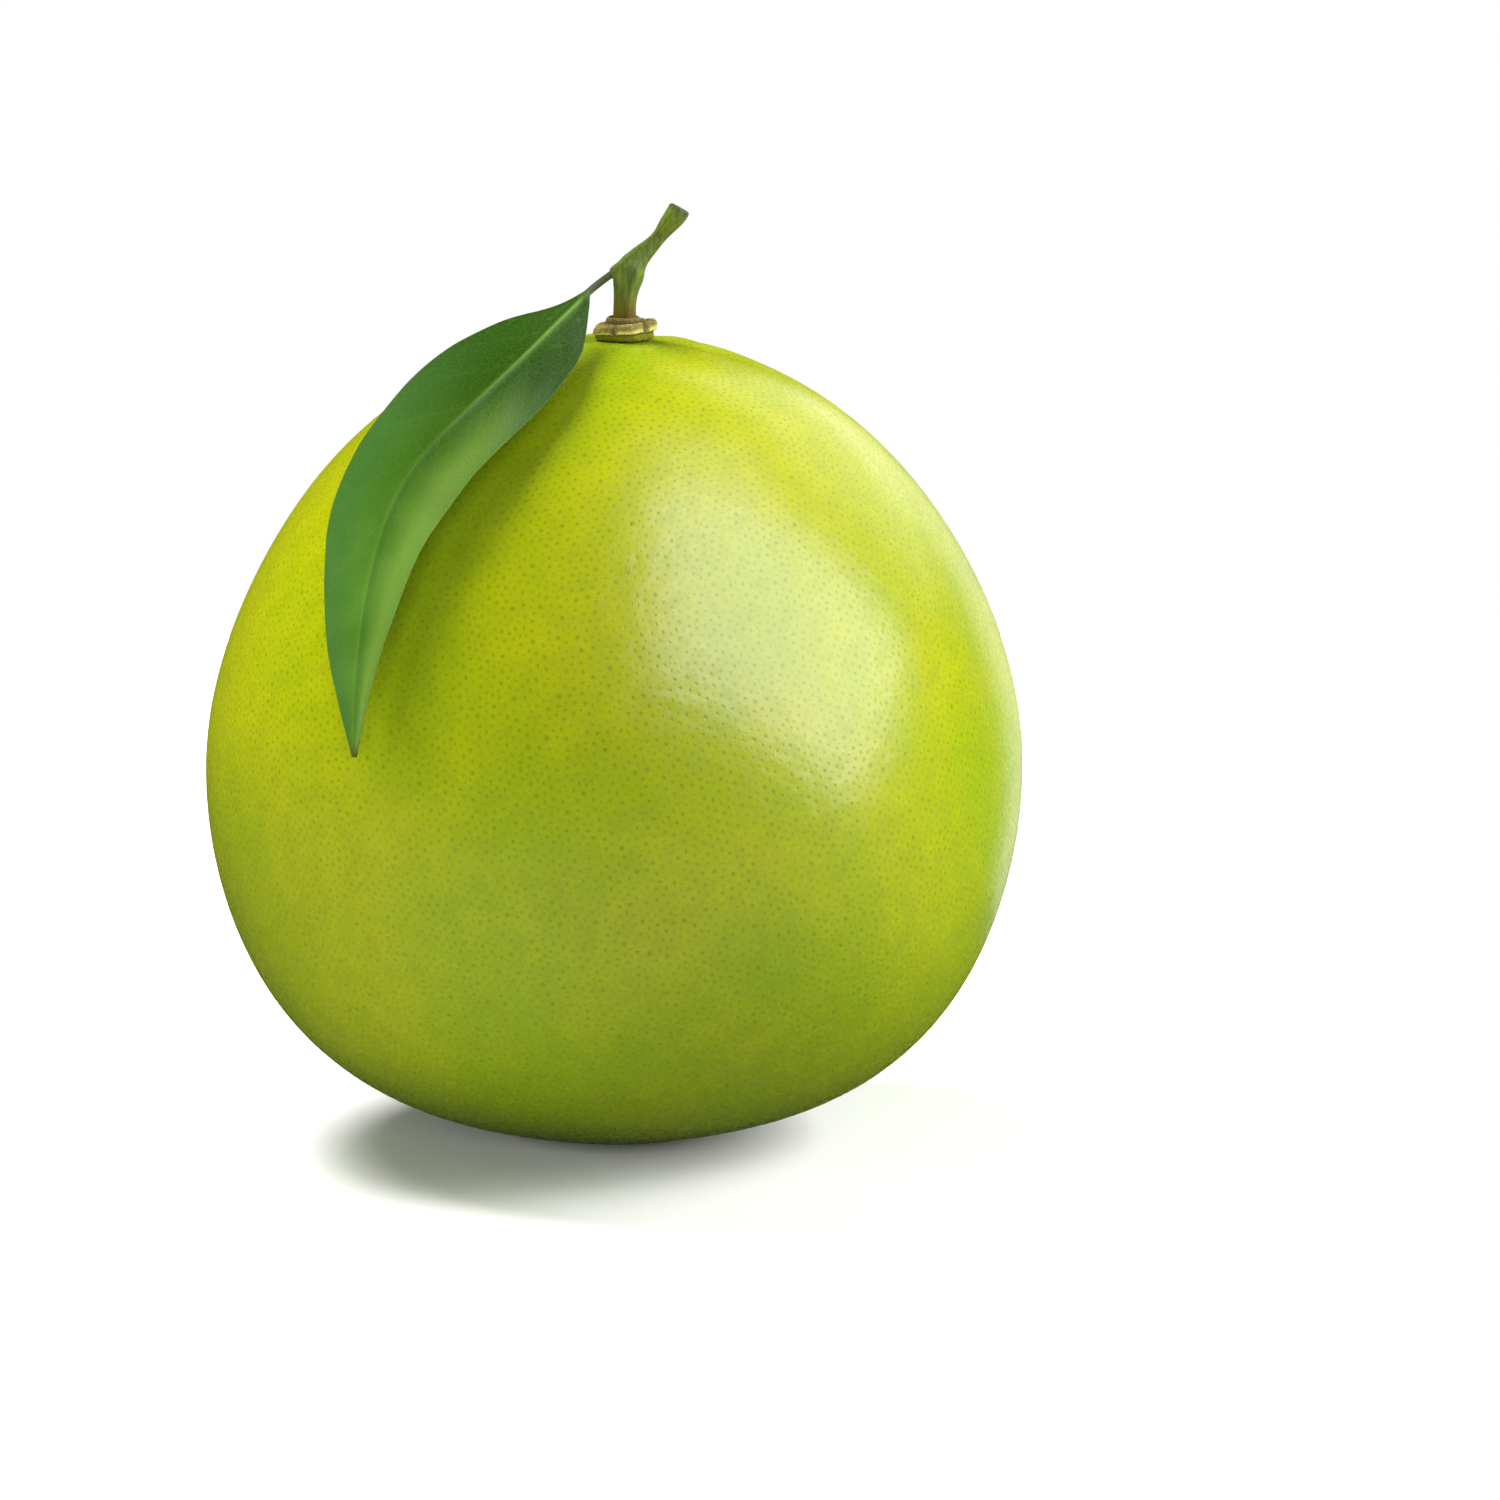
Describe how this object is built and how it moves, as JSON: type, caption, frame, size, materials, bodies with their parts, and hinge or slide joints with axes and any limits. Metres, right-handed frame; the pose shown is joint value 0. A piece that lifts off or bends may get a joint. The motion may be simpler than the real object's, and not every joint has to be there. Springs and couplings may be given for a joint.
{
  "type": "pomelo",
  "caption": "Round pomelo as picked, with a finely pitted yellow-green rind, a short bent twig in its calyx and a drooping leaf; rests upright on its flattened base.",
  "frame": {"origin": "centre of the small flat spot on the blossom end, which the fruit rests on", "axes": "+Z along the fruit's axis, from the resting spot up to the stem end; the twig leans to +X; the leaf hangs towards -X and -Y, the front"},
  "size_m": [0.1596, 0.1601, 0.1828],
  "materials": {
    "rind": "waxy yellow-green skin with fine round pits, satin with a broad soft highlight",
    "calyx": "dry tan-green sepals, matte, browner in the creases",
    "twig": "smooth olive-green bark, a little ribbed, grey-green at the cut end",
    "leaf": "leathery dark green, satin-glossy above and duller and paler below, with a lighter midrib"
  },
  "bodies": {
    "root": {"fruit": "rind", "calyx": "calyx", "twig": "twig", "leaf": "leaf"}
  },
  "joints": []
}
